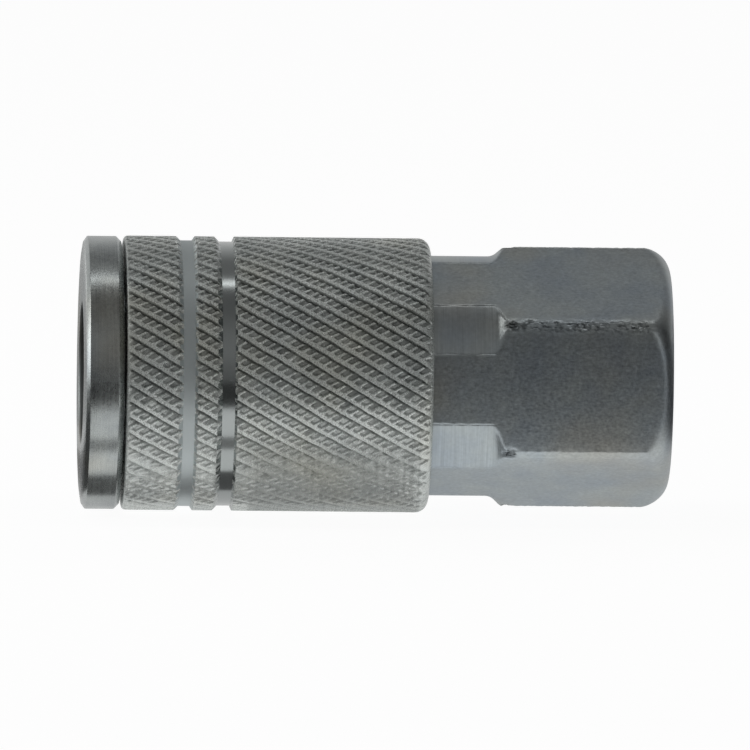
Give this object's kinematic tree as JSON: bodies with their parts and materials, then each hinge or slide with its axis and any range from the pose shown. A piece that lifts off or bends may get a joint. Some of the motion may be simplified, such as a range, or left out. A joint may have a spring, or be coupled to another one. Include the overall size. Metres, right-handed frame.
{
  "type": "quick disconnect coupler",
  "caption": "Pneumatic quick disconnect coupler with a knurled release sleeve, ball lock, sprung shut-off valve and a hex body with a female taper pipe port.",
  "frame": {"origin": "centre of the plug bore's mouth, in the plane of the front ring's face", "axes": "+X along the coupler's axis from the plug mouth to the pipe port; -Y square to one wrench flat; +Z through a hex corner"},
  "size_m": [0.053, 0.0246, 0.0247],
  "materials": {
    "zinc_plated_nose": "bright zinc plate with circumferential turning marks",
    "zinc_plated_sleeve": "bright zinc plate over a rolled knurl, smooth in the two grooves",
    "zinc_plated_hex": "dull zinc plate over drawn hex bar, turned on the neck and end",
    "plain_steel": "turned steel, fine lathe marks",
    "spring_steel": "drawn spring wire, lightly oiled",
    "ball_steel": "hardened and polished bearing balls",
    "turned_brass": "turned brass, fine lathe marks",
    "black_rubber": "moulded nitrile rubber, matt"
  },
  "bodies": {
    "coupler_body": {"hex_body": "zinc_plated_hex", "nose_socket": "zinc_plated_nose", "body_gasket": "black_rubber", "plug_seal": "black_rubber", "seal_backing_ring": "plain_steel", "valve_seat": "turned_brass", "seat_o_ring": "black_rubber", "valve_guide": "turned_brass", "sleeve_spring": "spring_steel", "valve_spring": "spring_steel"},
    "collar": {"spring_collar": "plain_steel"},
    "sleeve": {"release_sleeve": "zinc_plated_sleeve"},
    "valve": {"valve_pusher": "turned_brass", "valve_seal": "black_rubber", "valve_carrier": "turned_brass"},
    "ball_1": {"locking_ball_1": "ball_steel"},
    "ball_2": {"locking_ball_2": "ball_steel"},
    "ball_3": {"locking_ball_3": "ball_steel"},
    "ball_4": {"locking_ball_4": "ball_steel"},
    "ball_5": {"locking_ball_5": "ball_steel"},
    "ball_6": {"locking_ball_6": "ball_steel"}
  },
  "joints": [
    {"name": "sleeve_slide", "type": "slide", "parent": "coupler_body", "child": "collar", "axis": [1, 0, 0], "range_m": [0, 0.0044], "stiffness_N_per_m": 2500, "springref_m": -0.005, "deforming": ["sleeve_spring"]},
    {"name": "sleeve_spin", "type": "hinge", "parent": "collar", "child": "sleeve", "pos_m": [0.0134, 0, 0], "axis": [1, 0, 0], "continuous": true},
    {"name": "ball_1_slide", "type": "slide", "parent": "coupler_body", "child": "ball_1", "axis": [0, 1, 0], "range_m": [0, 0.00102]},
    {"name": "ball_2_slide", "type": "slide", "parent": "coupler_body", "child": "ball_2", "axis": [0, 0.5, 0.866], "range_m": [0, 0.00102]},
    {"name": "ball_3_slide", "type": "slide", "parent": "coupler_body", "child": "ball_3", "axis": [0, -0.5, 0.866], "range_m": [0, 0.00102]},
    {"name": "ball_4_slide", "type": "slide", "parent": "coupler_body", "child": "ball_4", "axis": [0, -1, 0], "range_m": [0, 0.00102]},
    {"name": "ball_5_slide", "type": "slide", "parent": "coupler_body", "child": "ball_5", "axis": [0, -0.5, -0.866], "range_m": [0, 0.00102]},
    {"name": "ball_6_slide", "type": "slide", "parent": "coupler_body", "child": "ball_6", "axis": [0, 0.5, -0.866], "range_m": [0, 0.00102]},
    {"name": "valve_slide", "type": "slide", "parent": "coupler_body", "child": "valve", "axis": [1, 0, 0], "range_m": [0, 0.0035], "stiffness_N_per_m": 800, "springref_m": -0.004, "deforming": ["valve_spring"]}
  ],
  "couplings": [
    {"joint": "ball_1_slide", "follows": "sleeve_slide", "ratio": 0.23},
    {"joint": "ball_2_slide", "follows": "sleeve_slide", "ratio": 0.23},
    {"joint": "ball_3_slide", "follows": "sleeve_slide", "ratio": 0.23},
    {"joint": "ball_4_slide", "follows": "sleeve_slide", "ratio": 0.23},
    {"joint": "ball_5_slide", "follows": "sleeve_slide", "ratio": 0.23},
    {"joint": "ball_6_slide", "follows": "sleeve_slide", "ratio": 0.23}
  ]
}
